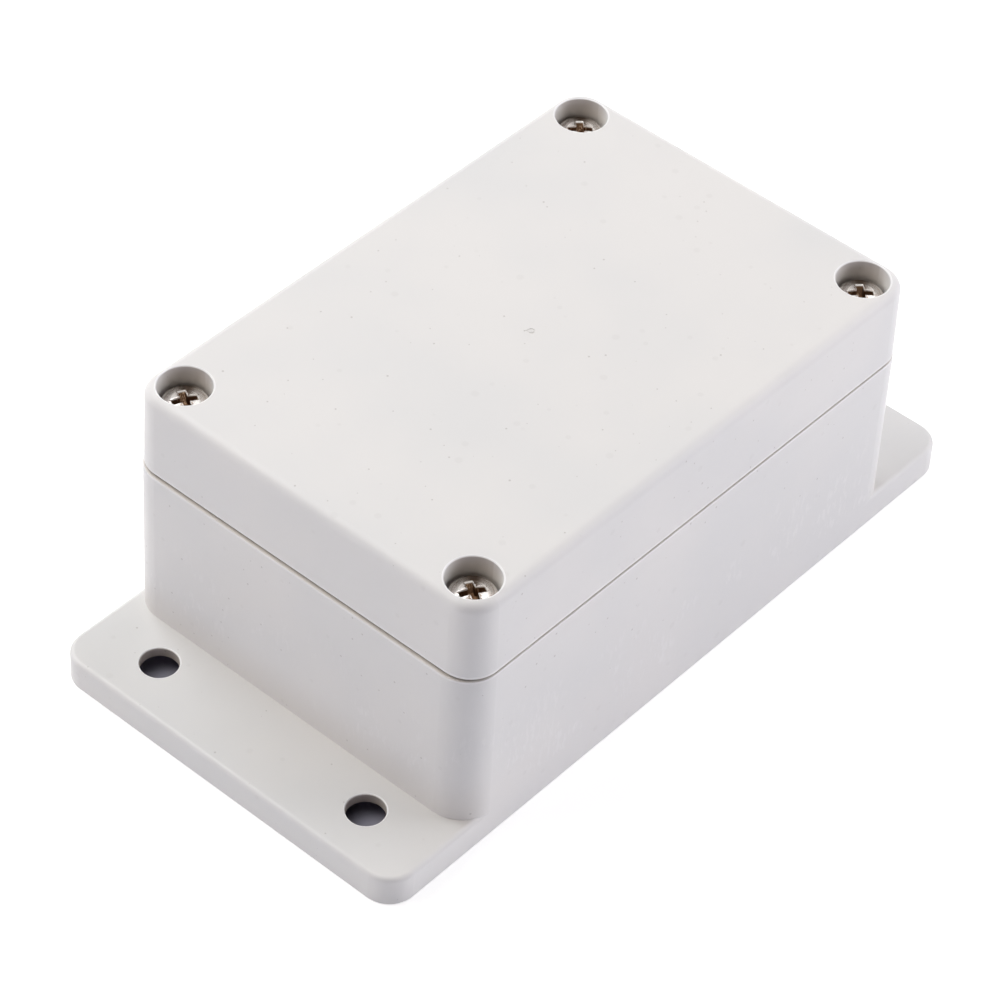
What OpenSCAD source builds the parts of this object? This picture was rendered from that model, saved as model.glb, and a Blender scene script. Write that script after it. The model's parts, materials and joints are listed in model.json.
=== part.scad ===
// Sealed plastic project box with a screwed lid and two mounting flanges.
// The origin is the middle of the underside. +X runs along the box to a flange, +Y across it, +Z up.
// Front is the -Y side and left is the -X side.

/* [Box] */
// Length of the base at its rim
box_l = 100.8; // [90:0.1:150]
// Width of the base at its rim
box_w = 67.8; // [60:0.1:110]
// Height of the base from its underside to its rim
base_h = 34.15; // [26:0.05:60]
// How far each side of the base leans in from its foot to its rim
base_lean = 0.3; // [0.1:0.05:0.6]
// Radius of the upright corners
corner_r = 5.5; // [4.8:0.1:6]
// Thickness of the side walls
wall = 3.2; // [3:0.1:3.6]
// Thickness of the floor
floor_t = 3; // [2:0.1:4]
// Rounding of the edge round the underside
foot_round = 0.3; // [0.2:0.1:0.8]
// Rounding of the rim's outer edge
rim_round = 0.3; // [0.1:0.05:0.4]

/* [Mounting flanges] */
// How far each flange stands out from the foot of the box's end
flange_l = 15.1; // [13:0.05:22]
// Height of the flanges
flange_t = 5.4; // [4:0.1:7]
// Thickness of a flange's top, which is hollow underneath
flange_skin = 1.7; // [1.4:0.1:2.4]
// Thickness of the skirt round a flange's hollow
skirt_w = 2; // [1.4:0.1:2.6]
// Radius of the flanges' outer corners
flange_r = 4.7; // [3:0.1:5.4]
// Rounding of the flanges' top edge
flange_round = 0.8; // [0.4:0.1:1.2]
// Radius of the mounting holes
mount_hole_r = 3.05; // [2:0.05:3.5]
// Distance from the end of a flange to the middle of its holes
mount_inset = 8.7; // [6.5:0.1:8.8]
// Distance between the two holes of a flange
mount_span = 42.2; // [30:0.1:48]

/* [Lid] */
// Height of the lid's outside
lid_h = 14.2; // [12.5:0.1:20]
// Thickness of the lid's top
lid_t = 3; // [2:0.1:4]
// How far the lid's lower edge stands in from the base's ends
ledge_end = 0.4; // [0.1:0.05:0.5]
// How far the lid's lower edge stands in from the base's long sides
ledge_side = 0.05; // [0.05:0.05:0.3]
// Rounding of the lid's lower edge
lid_foot_round = 0.15; // [0.1:0.05:0.3]
// How far each side of the lid leans in from bottom to top
lid_lean = 0.3; // [0.1:0.05:0.6]
// Rounding of the lid's top edge
lid_round = 1.7; // [1:0.1:2.2]
// Open seam between the base's rim and the lid
seam_gap = 0.35; // [0.15:0.05:0.5]
// Outer radius of the ring that the moulding gate left in the middle of the lid
gate_r = 0.6; // [0.5:0.05:1]
// Width of that ring
gate_ring = 0.25; // [0.15:0.05:0.4]
// Depth of that ring
gate_d = 0.1; // [0.05:0.05:0.2]

/* [Seal] */
// Width of the tongue on the base's rim
tongue_w = 1.2; // [1:0.1:1.4]
// Height of the tongue above the rim
tongue_h = 2; // [1.5:0.1:2.4]
// Clearance at each side of the tongue in the lid's groove
groove_gap = 0.2; // [0.1:0.05:0.3]
// Width of the lip inside the groove
lip_w = 1.2; // [0.9:0.1:1.4]
// Height of the gasket strip, pressed down
gasket_h = 1.7; // [1.2:0.1:2]
// Clearance at each side of the gasket in the groove
gasket_gap = 0.1; // [0.05:0.05:0.2]
// Bend radius where the cavity wall turns towards a screw column
bend_r = 2; // [1.8:0.1:3]

/* [Lid screws] */
// Distance from the box's ends to the screws' axes
screw_inset_x = 6.3; // [6:0.05:7]
// Distance from the box's long sides to the screws' axes
screw_inset_y = 5.85; // [5.8:0.05:7]
// Radius of the pocket that a screw head sinks into
pocket_r = 4.2; // [4:0.05:4.4]
// Depth of the pocket below the lid's top
pocket_d = 4.8; // [3.5:0.1:6]
// Bevel round the mouths of the pockets and of the mounting holes
mouth_bevel = 0.15; // [0.05:0.05:0.3]
// Radius of a screw head
head_r = 3.5; // [3:0.05:3.8]
// Height of a screw head
head_h = 2.2; // [2:0.1:2.8]
// Height of the upright edge under the head's dome
head_edge = 1.8; // [1:0.1:1.9]
// Radius of a screw's shank
shank_r = 1.95; // [1.7:0.05:2]
// Length of a screw's shank
shank_l = 16; // [14:0.5:19]
// Bevel of the shank's tip
tip_bevel = 0.5; // [0.3:0.1:0.8]
// Radius of the cross recess
recess_r = 2.25; // [1.8:0.05:2.5]
// Depth of the cross recess
recess_d = 1.9; // [1.4:0.1:2]
// Width of the recess's arms
recess_w = 1.2; // [0.9:0.05:1.3]
// Radius of the cone at the bottom of the cross recess
recess_tip_r = 0.85; // [0.6:0.05:1]
// Angle of the cross of the front left screw
turn_front_left = 61; // [0:1:89]
// Angle of the cross of the front right screw
turn_front_right = 46; // [0:1:89]
// Angle of the cross of the back left screw
turn_back_left = 62; // [0:1:89]
// Angle of the cross of the back right screw
turn_back_right = 45; // [0:1:89]
// Clearance round a screw in the lid
shank_gap = 0.3; // [0.2:0.05:0.4]
// Running clearance of a screw in its insert
thread_gap = 0.07; // [0.02:0.01:0.1]

/* [Threaded inserts] */
// Outer radius of an insert
insert_r = 2.8; // [2.6:0.05:3]
// Length of an insert
insert_h = 8; // [6:0.5:10]
// How far an insert lies below the rim
insert_drop = 0.2; // [0:0.05:0.5]
// Length of each of an insert's two knurled bands, with the bevel at its end
insert_band = 3.2; // [2:0.1:3.6]
// Depth of the groove round an insert's waist and of the bevels at its ends
insert_cut = 0.3; // [0.2:0.05:0.4]
// Plastic round an insert on the cavity side
column_wall = 2.4; // [2:0.1:2.8]
// Depth of the free hole below an insert
relief_d = 6; // [3:0.5:10]

/* [Board bosses] */
// Distance from the cavity's end walls to the bosses' axes
boss_inset_x = 10; // [9:0.5:20]
// Distance from the cavity's long walls to the bosses' axes
boss_inset_y = 9.5; // [9:0.5:14]
// Radius of a boss
boss_r = 3; // [2.4:0.1:3.4]
// Height of a boss above the floor
boss_h = 5; // [3:0.5:8]
// Radius of the pilot hole for a board screw
pilot_r = 1.25; // [1:0.05:1.5]

/* [Hidden] */
$fn = 64;

plastic = [0.86, 0.855, 0.845];
nickel = [0.72, 0.70, 0.67];
brass = [0.80, 0.64, 0.34];
silicone = [0.20, 0.20, 0.21];

// Cutters run past the faces that they open by this much
over = 1;

half_l = box_l / 2;
half_w = box_w / 2;
foot_x = half_l + base_lean;
foot_y = half_w + base_lean;
flange_end = foot_x + flange_l;
mount_x = flange_end - mount_inset;
screw_x = half_l - screw_inset_x;
screw_y = half_w - screw_inset_y;
boss_x = half_l - wall - boss_inset_x;
boss_y = half_w - wall - boss_inset_y;

lid_z = base_h + seam_gap;
top_z = lid_z + lid_h;
seat_z = top_z - pocket_d;
lid_r = corner_r - max(ledge_end, ledge_side);
base_slope = atan(base_lean / base_h);
lid_slope = atan(lid_lean / lid_h);

column_r = insert_r + column_wall;
tongue_in = wall - tongue_w;
groove_in = tongue_in - groove_gap;
groove_out = wall + groove_gap;
lip_in = groove_out + lip_w;
groove_top = base_h + tongue_h + gasket_h;

// Draws its child at the four points (x, y) of a rectangle round the origin
module four(x, y) {
    for (side_x = [-1, 1], side_y = [-1, 1])
        translate([side_x * x, side_y * y]) children();
}

// Rounded rectangle
module rounded_outline(half_x, half_y, r) {
    square([2 * (half_x - r), 2 * half_y], center = true);
    square([2 * half_x, 2 * (half_y - r)], center = true);
    four(half_x - r, half_y - r) circle(r);
}

// Block with round upright corners. Its child is the profile of its edge, measured from the axis of a
// corner. The profile is turned round the corners and drawn along the sides.
module edged_block(half_x, half_y, r, z, h) {
    core_x = half_x - r;
    core_y = half_y - r;
    translate([-core_x, -core_y, z]) cube([2 * core_x, 2 * core_y, h]);
    for (turn = [0, 180]) rotate(turn) {
        translate([core_x, core_y]) rotate_extrude(angle = 90) children();
        translate([-core_x, core_y]) rotate(90) rotate_extrude(angle = 90) children();
        translate([core_x, 0]) rotate([90, 0, 0]) linear_extrude(2 * core_y, center = true) children();
        translate([0, core_y]) rotate([90, 0, 90]) linear_extrude(2 * core_x, center = true) children();
    }
}

// Edge profile of a block. Its side starts at r on height z and leans in by the slope. The lower and the
// upper edge are rounded.
module leaning_edge(r, z, h, slope, lower, upper) {
    low_mid = [r - lower * tan(slope) - lower / cos(slope), z + lower];
    high_mid = [r - (h - upper) * tan(slope) - upper / cos(slope), z + h - upper];
    out = [cos(slope), sin(slope)];
    polygon([[0, z], [low_mid.x, z], low_mid + lower * out,
        high_mid + upper * out, [high_mid.x, z + h], [0, z + h]]);
    translate(low_mid) circle(lower);
    translate(high_mid) circle(upper);
}

// Area inside the seal's path, at a distance from the box's sides. Its walls run straight, bend towards
// the cavity before each screw column and pass round the column.
module seal_area(inset) {
    half_x = half_l - inset;
    half_y = half_w - inset;
    round_r = column_r + inset - wall;
    turn_r = bend_r + wall - inset;
    reach = column_r + bend_r;
    bend_x = half_l - wall - bend_r;
    bend_y = half_w - wall - bend_r;
    turn_x = screw_x - sqrt(reach * reach - pow(bend_y - screw_y, 2));
    turn_y = screw_y - sqrt(reach * reach - pow(bend_x - screw_x, 2));
    difference() {
        square([2 * half_x, 2 * half_y], center = true);
        for (side_x = [-1, 1], side_y = [-1, 1]) {
            translate([side_x * screw_x, side_y * screw_y]) circle(round_r);
            polygon([[side_x * screw_x, side_y * screw_y],
                [side_x * bend_x, side_y * turn_y],
                [side_x * half_l, side_y * turn_y],
                [side_x * half_l, side_y * half_w],
                [side_x * turn_x, side_y * half_w],
                [side_x * turn_x, side_y * bend_y]]);
        }
    }
    four(bend_x, turn_y) circle(turn_r);
    four(turn_x, bend_y) circle(turn_r);
}

// Wall that follows the seal's path, between two distances from the box's sides
module seal_ring(from, to, z, h) {
    translate([0, 0, z]) linear_extrude(h) difference() {
        seal_area(from);
        seal_area(to);
    }
}

// Base moulding: box, flanges, screw columns, board bosses and the tongue of the seal
module base() {
    color(plastic) {
        difference() {
            union() {
                edged_block(flange_end, foot_y, flange_r, 0, flange_t)
                    leaning_edge(flange_r, 0, flange_t, base_slope, foot_round, flange_round);
                edged_block(half_l, half_w, corner_r, 0, base_h)
                    leaning_edge(corner_r + base_lean, 0, base_h, base_slope, foot_round, rim_round);
            }
            translate([0, 0, floor_t]) linear_extrude(base_h) seal_area(wall);
            four(mount_x, mount_span / 2) {
                translate([0, 0, -over]) cylinder(h = flange_t + 2 * over, r = mount_hole_r);
                hole_mouth(flange_t, mount_hole_r);
            }
            four(screw_x, screw_y) insert_hole();
            flange_hollow(1);
            flange_hollow(-1);
        }
        seal_ring(tongue_in, wall, base_h, tongue_h);
        four(boss_x, boss_y) board_boss();
    }
}

// Bevelled mouth of a round hole of radius r, in a face at height z
module hole_mouth(z, r) {
    translate([0, 0, z - mouth_bevel])
        cylinder(h = mouth_bevel + over, r1 = r, r2 = r + mouth_bevel + over);
}

// Hollow under a flange, inside its skirt
module flange_hollow(side) {
    hollow_l = flange_l - skirt_w;
    translate([side * (foot_x + hollow_l / 2), 0, -over])
        linear_extrude(flange_t - flange_skin + over)
            rounded_outline(hollow_l / 2, foot_y - skirt_w, flange_r - skirt_w);
}

// Stepped hole in a screw column: a seat for the insert and a free hole below it
module insert_hole() {
    seat = base_h - insert_drop - insert_h;
    translate([0, 0, seat]) cylinder(h = insert_h + insert_drop + over, r = insert_r);
    translate([0, 0, seat - relief_d]) cylinder(h = relief_d + over, r = shank_r + shank_gap);
}

// Boss for a circuit board, with a blind pilot hole
module board_boss() {
    translate([0, 0, floor_t]) difference() {
        cylinder(h = boss_h, r = boss_r);
        cylinder(h = boss_h + over, r = pilot_r);
    }
}

// Lid moulding: drafted cap with sunk screw pockets, and the groove of the seal round its hollow
module lid() {
    color(plastic) difference() {
        edged_block(half_l - ledge_end, half_w - ledge_side, lid_r, lid_z, lid_h)
            leaning_edge(lid_r, lid_z, lid_h, lid_slope, lid_foot_round, lid_round);
        translate([0, 0, lid_z - over])
            linear_extrude(lid_h - lid_t + over) seal_area(lip_in);
        seal_ring(groove_in, groove_out, lid_z - over, groove_top - lid_z + over);
        four(screw_x, screw_y) {
            translate([0, 0, seat_z]) cylinder(h = pocket_d + over, r = pocket_r);
            hole_mouth(top_z, pocket_r);
            translate([0, 0, lid_z - over]) cylinder(h = lid_h, r = shank_r + shank_gap);
        }
        translate([0, 0, top_z - gate_d]) difference() {
            cylinder(h = gate_d + over, r = gate_r);
            cylinder(h = gate_d + over, r = gate_r - gate_ring);
        }
    }
}

// Gasket strip, held in the lid's groove and pressed by the tongue
module gasket() {
    color(silicone)
        seal_ring(groove_in + gasket_gap, groove_out - gasket_gap, groove_top - gasket_h, gasket_h);
}

// Brass insert, pressed into a screw column
module insert(side_x, side_y) {
    bore_r = shank_r + thread_gap;
    waist_r = insert_r - insert_cut;
    color(brass) translate([side_x * screw_x, side_y * screw_y, base_h - insert_drop - insert_h])
        rotate_extrude() polygon([[bore_r, 0], [waist_r, 0], [insert_r, insert_cut],
            [insert_r, insert_band], [waist_r, insert_band + insert_cut],
            [waist_r, insert_h - insert_band - insert_cut], [insert_r, insert_h - insert_band],
            [insert_r, insert_h - insert_cut], [waist_r, insert_h], [bore_r, insert_h]]);
}

// Lid screw with a low domed head and a cross recess, each turned as it was left when it was tightened
module screw(side_x, side_y, turned) {
    color(nickel) translate([side_x * screw_x, side_y * screw_y, seat_z]) rotate(turned) {
        difference() {
            rotate_extrude() head_profile();
            translate([0, 0, head_h - recess_d]) cross_recess();
        }
        translate([0, 0, tip_bevel - shank_l]) cylinder(h = shank_l - tip_bevel, r = shank_r);
        translate([0, 0, -shank_l]) cylinder(h = tip_bevel, r1 = shank_r - tip_bevel, r2 = shank_r);
    }
}

// Half section of a screw head: a low dome on an upright edge
module head_profile() {
    rise = head_h - head_edge;
    dome_r = (head_r * head_r + rise * rise) / (2 * rise);
    intersection() {
        square([head_r, head_h]);
        translate([0, head_h - dome_r]) circle(dome_r);
    }
}

// Cross recess: four arms that taper towards the bottom
module cross_recess() {
    spread = (recess_r - recess_tip_r) / recess_d;
    intersection() {
        cylinder(h = recess_d + over, r1 = recess_tip_r, r2 = recess_r + spread * over);
        for (turn = [0, 90]) rotate(turn)
            translate([-recess_r, -recess_w / 2]) cube([2 * recess_r, recess_w, recess_d + over]);
    }
}

base();
lid();
gasket();
insert(-1, -1);  // insert_front_left
insert(1, -1);  // insert_front_right
insert(-1, 1);  // insert_back_left
insert(1, 1);  // insert_back_right
screw(-1, -1, turn_front_left);  // screw_front_left
screw(1, -1, turn_front_right);  // screw_front_right
screw(-1, 1, turn_back_left);  // screw_back_left
screw(1, 1, turn_back_right);  // screw_back_right
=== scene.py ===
"""Looks of a sealed plastic project box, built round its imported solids.

The two mouldings keep their solids and get a moulded plastic. The lid screws, the threaded inserts and the
gasket are modelled here in full. A studio with a pale floor and a camera stands round them.
"""

import json
import math
from functools import reduce

import bmesh
import bpy
from bpy.props import FloatProperty, FloatVectorProperty, IntProperty, PointerProperty
from bpy.types import Operator, Panel, PropertyGroup
from mathutils import Matrix, Vector

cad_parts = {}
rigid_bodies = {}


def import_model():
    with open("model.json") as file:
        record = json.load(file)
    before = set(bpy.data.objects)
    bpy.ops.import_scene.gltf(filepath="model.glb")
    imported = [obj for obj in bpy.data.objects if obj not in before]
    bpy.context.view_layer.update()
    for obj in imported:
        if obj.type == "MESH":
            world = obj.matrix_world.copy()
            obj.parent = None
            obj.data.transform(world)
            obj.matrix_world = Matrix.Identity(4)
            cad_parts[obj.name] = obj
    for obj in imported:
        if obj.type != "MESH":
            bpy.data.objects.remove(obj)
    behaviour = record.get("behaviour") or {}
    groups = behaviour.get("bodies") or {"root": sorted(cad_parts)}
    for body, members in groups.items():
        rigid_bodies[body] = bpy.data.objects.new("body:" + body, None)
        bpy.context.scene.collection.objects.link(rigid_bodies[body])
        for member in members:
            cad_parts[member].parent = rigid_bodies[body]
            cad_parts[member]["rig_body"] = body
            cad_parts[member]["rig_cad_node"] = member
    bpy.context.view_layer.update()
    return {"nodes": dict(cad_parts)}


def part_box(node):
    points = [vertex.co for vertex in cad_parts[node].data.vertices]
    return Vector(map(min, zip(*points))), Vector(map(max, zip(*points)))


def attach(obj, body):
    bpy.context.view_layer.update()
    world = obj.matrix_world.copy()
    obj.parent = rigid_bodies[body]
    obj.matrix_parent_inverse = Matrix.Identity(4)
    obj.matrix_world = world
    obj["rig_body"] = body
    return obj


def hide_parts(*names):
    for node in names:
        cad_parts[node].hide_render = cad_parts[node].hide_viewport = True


bl_info = {
    "name": "Project box looks",
    "version": (1, 0, 0),
    "blender": (4, 5, 0),
    "location": "3D View > Sidebar > Project box",
    "description": "Dresses a plastic project box: mouldings, screws, inserts, gasket and studio",
    "category": "Object",
}

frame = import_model()

MM = 0.001
TINY = 1e-7
CORNERS = ("front_left", "front_right", "back_left", "back_right")


def node_size(name):
    """Width, depth and height of a solid of the frame."""
    low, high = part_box(name)
    return high - low


SCREW_SIZE = node_size("screw_front_left")
INSERT_SIZE = node_size("insert_front_left")
LID_LOW, LID_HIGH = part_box("lid")


# ----- Sizes and colours -----


def number(name, description, value, **more):
    """Property for a plain number."""
    return FloatProperty(name=name, description=description, default=value, **more)


def length(name, description, millimetres):
    """Property for a length, given in millimetres and kept in metres."""
    return number(name, description, millimetres * MM, min=0.0, precision=5, unit="LENGTH")


def share(name, description, value):
    """Property for a share from 0 to 1."""
    return number(name, description, value, min=0.0, max=1.0, subtype="FACTOR")


def angle(name, description, degrees):
    """Property for an angle, given in degrees."""
    return number(name, description, math.radians(degrees), subtype="ANGLE", unit="ROTATION")


def count(name, description, value, least, most):
    """Property for a number of like things."""
    return IntProperty(name=name, description=description, default=value, min=least, max=most)


def colour(name, description, value):
    """Property for a colour."""
    return FloatVectorProperty(
        name=name, description=description, default=value, size=3, min=0.0, max=1.0, subtype="COLOR"
    )


class MouldingLook(PropertyGroup):
    """Plastic of the base and the lid"""

    plastic: colour("Plastic", "Colour of the moulded plastic", (0.80, 0.785, 0.765))
    mottle: colour("Mottling", "Colour that the plastic drifts to in soft patches", (0.76, 0.755, 0.745))
    speck: colour("Specks", "Colour of the fine specks in the plastic", (0.34, 0.31, 0.28))
    # Painted highlight: the paler colour of the lines along thin edges
    edge: colour("Edges", "Colour of the paler lines along thin edges", (0.97, 0.965, 0.955))
    # Painted shade: the darker colour of the rim beside the seam
    seam: colour("Seam", "Colour of the plastic on the rim beside the seam", (0.66, 0.62, 0.58))
    # Painted shade: the darker colour low on the end walls, above the flanges
    foot: colour("Foot", "Colour of the end walls just above the flanges", (0.72, 0.695, 0.66))
    rub: colour("Rub marks", "Colour of the paler rub marks low on the sides", (0.86, 0.85, 0.84))
    pocket: colour("Pocket", "Colour of the shaded walls of pockets and holes", (0.41, 0.335, 0.27))
    mottle_size: length("Mottling size", "Size of the soft patches of tone", 9.0)
    grain_size: length("Grain size", "Size of the fine grain of the mould", 0.25)
    speck_spacing: length("Speck spacing", "Distance between neighbouring specks", 2.0)
    speck_size: length("Speck size", "Radius of the largest specks", 0.24)
    smudge_spacing: length("Smudge spacing", "Distance between neighbouring smudges", 4.0)
    smudge_size: length("Smudge size", "Radius of the largest smudges", 0.8)
    rub_size: length("Rub mark width", "Width of a rub mark", 0.7)
    rub_height: length("Rub mark height", "Height above which no rub marks show", 30.0)
    edge_width: length("Edge line width", "Width of the paler lines along thin edges", 0.22)
    foot_shade_height: length("Foot height", "Height up to which the end walls are a little darker", 15.0)
    corner_radius: length("Corner radius", "Radius of the box's upright corners", 5.5)
    rim_height: length("Rim height", "Height of the base's rim", 34.15)
    flange_height: length("Flange height", "Height of the mounting flanges", 5.4)
    mount_x: length("Mounting holes along", "Their distance from the middle, along the box", 57.1)
    mount_y: length("Mounting holes across", "Their distance from the middle, across the box", 21.1)
    mount_radius: length("Mounting hole radius", "Radius of a mounting hole", 3.05)
    pocket_radius: length("Pocket radius", "Radius of a screw pocket", 4.2)
    pocket_depth: length("Pocket depth", "Depth of a screw pocket", 4.8)
    painted_shade_turn: angle("Shade direction", "Direction that the shaded walls face, from straight in front", -51)
    roughness: share("Roughness", "Roughness of the satin surface", 0.42)


class ScrewLook(PropertyGroup):
    """Lid screws: pan head, cross recess and thread"""

    # The dome is painted between the next two colours: the shining one where a sheen or glint is painted, the
    # dark one as a painted dark reflection, which also tints the shank in random patches
    nickel: colour("Nickel", "Colour of the nickel plating where it shines", (0.93, 0.90, 0.87))
    dull_and_dark_reflection: colour("Dull nickel", "Colour of the plating where it is dull", (0.205, 0.15, 0.113))
    steel: colour("Shank", "Colour of the shank and of the head's upright edge", (0.50, 0.47, 0.43))
    # Painted shade: the dark colour deep in the cross recess, with paler streaks down its walls
    recess_shade: colour("Recess", "Colour of the plating deep in the cross recess", (0.11, 0.062, 0.036))
    streak: colour("Recess streaks", "Colour of the paler streaks down its walls", (0.46, 0.31, 0.20))
    painted_sheen_turn: angle("Sheen direction", "Direction of the brightest edges, from straight in front", -51)
    ring_spacing: length("Turning marks", "Distance between the fine turning marks", 0.2)
    shank_length: length("Shank length", "Length of the shank below the head", 16.0)
    shank_radius: length("Shank radius", "Radius over the crests of the thread", 1.95)
    head_edge: length("Edge height", "Height of the upright edge under the dome", 1.6)
    edge_rounding: length("Edge rounding", "Rounding of the head's edge", 0.22)
    pitch: length("Thread pitch", "Distance from one thread to the next", 0.7)
    thread_depth: length("Thread depth", "Depth of the thread", 0.43)
    tip_bevel: length("Tip bevel", "Bevel of the shank's tip", 0.5)
    recess_across: length("Recess size", "Distance across two opposite arms of the cross", 4.8)
    recess_width: length("Arm width", "Width of an arm of the cross", 1.25)
    recess_depth: length("Recess depth", "Depth of the cross recess, without its point", 1.8)
    recess_point: length("Recess point", "Depth of the point at the bottom of the recess", 0.2)
    recess_edge: length("Recess edge", "Width of the bright edge round the recess", 0.17)
    turn_front_left: angle("Front left turn", "Angle of the cross of the front left screw", 61)
    turn_front_right: angle("Front right turn", "Angle of the cross of the front right screw", 46)
    turn_back_left: angle("Back left turn", "Angle of the cross of the back left screw", 62)
    turn_back_right: angle("Back right turn", "Angle of the cross of the back right screw", 45)


class InsertLook(PropertyGroup):
    """Brass inserts: knurled bands and an inner thread"""

    brass: colour("Brass", "Colour of the brass", (0.78, 0.58, 0.27))
    tarnish: colour("Tarnish", "Colour that the brass drifts to in patches", (0.55, 0.38, 0.17))
    bore_radius: length("Bore radius", "Radius inside the crests of the inner thread", 2.02)
    pitch: length("Thread pitch", "Distance from one thread to the next", 0.7)
    thread_depth: length("Thread depth", "Depth of the inner thread", 0.28)
    sink_depth: length("Countersink", "Depth of the countersink at the top", 0.45)
    knurl_depth: length("Knurl depth", "Depth of the diamonds of the knurl", 0.16)
    waist_depth: length("Waist depth", "Depth of the groove between the two bands", 0.3)
    knurl_teeth: count("Knurl teeth", "Diamonds round a band", 26, 12, 40)
    knurl_rows: count("Knurl rows", "Rows of diamonds in a band", 7, 3, 15)


class GasketLook(PropertyGroup):
    """Silicone strip in the lid's groove"""

    silicone: colour("Silicone", "Colour of the silicone", (0.045, 0.045, 0.048))
    bloom: colour("Bloom", "Colour of the dusty bloom on the silicone", (0.11, 0.11, 0.115))
    lint: colour("Lint", "Colour of the lint on the silicone", (0.3, 0.3, 0.3))
    rounding: length("Rounding", "Rounding of the strip's four edges", 0.45)


class StudioLook(PropertyGroup):
    """Floor, lamps and camera"""

    floor: colour("Floor", "Colour of the floor", (0.80, 0.80, 0.80))
    floor_radius: length("Floor radius", "Radius of the floor", 3000.0)
    glow: share("Floor glow", "Light that the floor adds to what the camera sees", 0.58)
    # Painted shade and light: the ground under the base is coloured dark, and glows a little below each
    # mounting hole
    shade: colour("Underside shade", "Colour of the dark ground under the flanges", (0.42, 0.40, 0.50))
    painted_hole_light: number("Hole light", "Strength of the light through the mounting holes", 0.15, min=0.0)
    painted_hole_light_tint: colour("Hole light tint", "Colour of the light through the holes", (0.86, 0.85, 1.0))
    fill_tint: colour("Fill", "Colour of the soft light from low down all round", (0.82, 0.815, 1.0))
    fill: number("Fill strength", "Strength of the soft light from low down", 1.93, min=0.0)
    fill_height: share("Fill height", "Sine of the angle above the floor at which the fill ends", 0.35)
    lamp_size: length("Lamp size", "Edge of each square lamp", 600.0)
    lamp_distance: length("Lamp distance", "Distance from each lamp to the box", 1000.0)
    azimuth: angle("Azimuth", "Direction of the camera, from straight in front", -51.022)
    elevation: angle("Elevation", "Angle of the camera above the floor", 44.002)
    roll: angle("Roll", "Turn of the camera about its own axis", 3.652)
    distance: length("Distance", "Distance from the camera to the point that it aims at", 588.08)
    aim_height: length("Aim height", "Height of that point above the floor", 25.0)
    lens: number("Lens", "Focal length in millimetres", 139.28, min=1.0, unit="CAMERA")
    aim_right: number("Aim right", "Place of that point in the view, right of the middle", 0.02306)
    aim_up: number("Aim up", "Place of that point in the view, above the middle", 0.05229)


# Direction from straight in front, angle above the floor, watts and tint of each lamp
LAMPS = {
    "front": (45, 20, 5.08, (1.0, 0.985, 1.0)),
    "left": (225, 50, 3.81, (1.0, 0.935, 0.855)),
    "back": (180, 50, 5.33, (0.935, 0.97, 1.0)),
    "right": (90, 50, 2.13, (1.0, 0.945, 0.945)),
}
for lamp, (turn, rise, watts, tint) in LAMPS.items():
    title, of_lamp = lamp.title() + " lamp", f" of the {lamp} lamp"
    StudioLook.__annotations__ |= {
        lamp + "_azimuth": angle(title + " direction", f"Direction{of_lamp}, from straight in front", turn),
        lamp + "_elevation": angle(title + " height", f"Angle{of_lamp} above the floor", rise),
        lamp + "_power": number(title, "Power" + of_lamp, watts, min=0.0, unit="POWER"),
        lamp + "_tint": colour(title + " tint", "Colour" + of_lamp, tint),
    }


def direction(turn, rise):
    """Unit vector towards a place round the box, from a turn to the right of straight in front and a rise."""
    return Vector((math.sin(turn) * math.cos(rise), -math.cos(turn) * math.cos(rise), math.sin(rise)))


# ----- Modelling -----


def clear_selection():
    """Leaves nothing selected and object mode on."""
    if bpy.context.object and bpy.context.object.mode != "OBJECT":
        bpy.ops.object.mode_set(mode="OBJECT")
    bpy.ops.object.select_all(action="DESELECT")


def pick(piece):
    """Makes one piece the only selected and the active one."""
    clear_selection()
    piece.select_set(True)
    bpy.context.view_layer.objects.active = piece


def edit(piece, kind="FACE"):
    """Opens a piece in edit mode with nothing selected in it."""
    pick(piece)
    bpy.ops.object.mode_set(mode="EDIT")
    bpy.ops.mesh.select_mode(type=kind)
    bpy.ops.mesh.select_all(action="DESELECT")


def name_piece(name):
    """Names the piece that was added last."""
    piece = bpy.context.object
    piece.name = name
    piece.data.name = name
    return piece


def apply_place():
    """Puts the place, turn and scale of the picked piece into its mesh."""
    bpy.ops.object.transform_apply(location=True, rotation=True, scale=True)


def select_where(piece, kind, wanted):
    """In edit mode, selects only the faces or points that pass a test."""
    bpy.ops.mesh.select_mode(type=kind)
    bpy.ops.mesh.select_all(action="DESELECT")
    mesh = bmesh.from_edit_mesh(piece.data)
    for item in {"FACE": mesh.faces, "VERT": mesh.verts}[kind]:
        if wanted(item):
            item.select_set(True)
    mesh.select_flush_mode()
    bmesh.update_edit_mesh(piece.data)


def extrude(outwards, upwards):
    """In edit mode, extrudes what is selected along X and Z."""
    bpy.ops.mesh.extrude_region_move(TRANSFORM_OT_translate={"value": (outwards, 0, upwards)})


def widen(ratio, height):
    """In edit mode, scales what is selected to or from the upright axis, about a point at a height."""
    bpy.ops.transform.resize(value=(ratio, ratio, 1), center_override=(0, 0, height))


def turn_faces_out():
    """In edit mode, merges doubles and points every face outwards."""
    bpy.ops.mesh.select_all(action="SELECT")
    bpy.ops.mesh.remove_doubles(threshold=TINY)
    bpy.ops.mesh.normals_make_consistent(inside=False)


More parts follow.
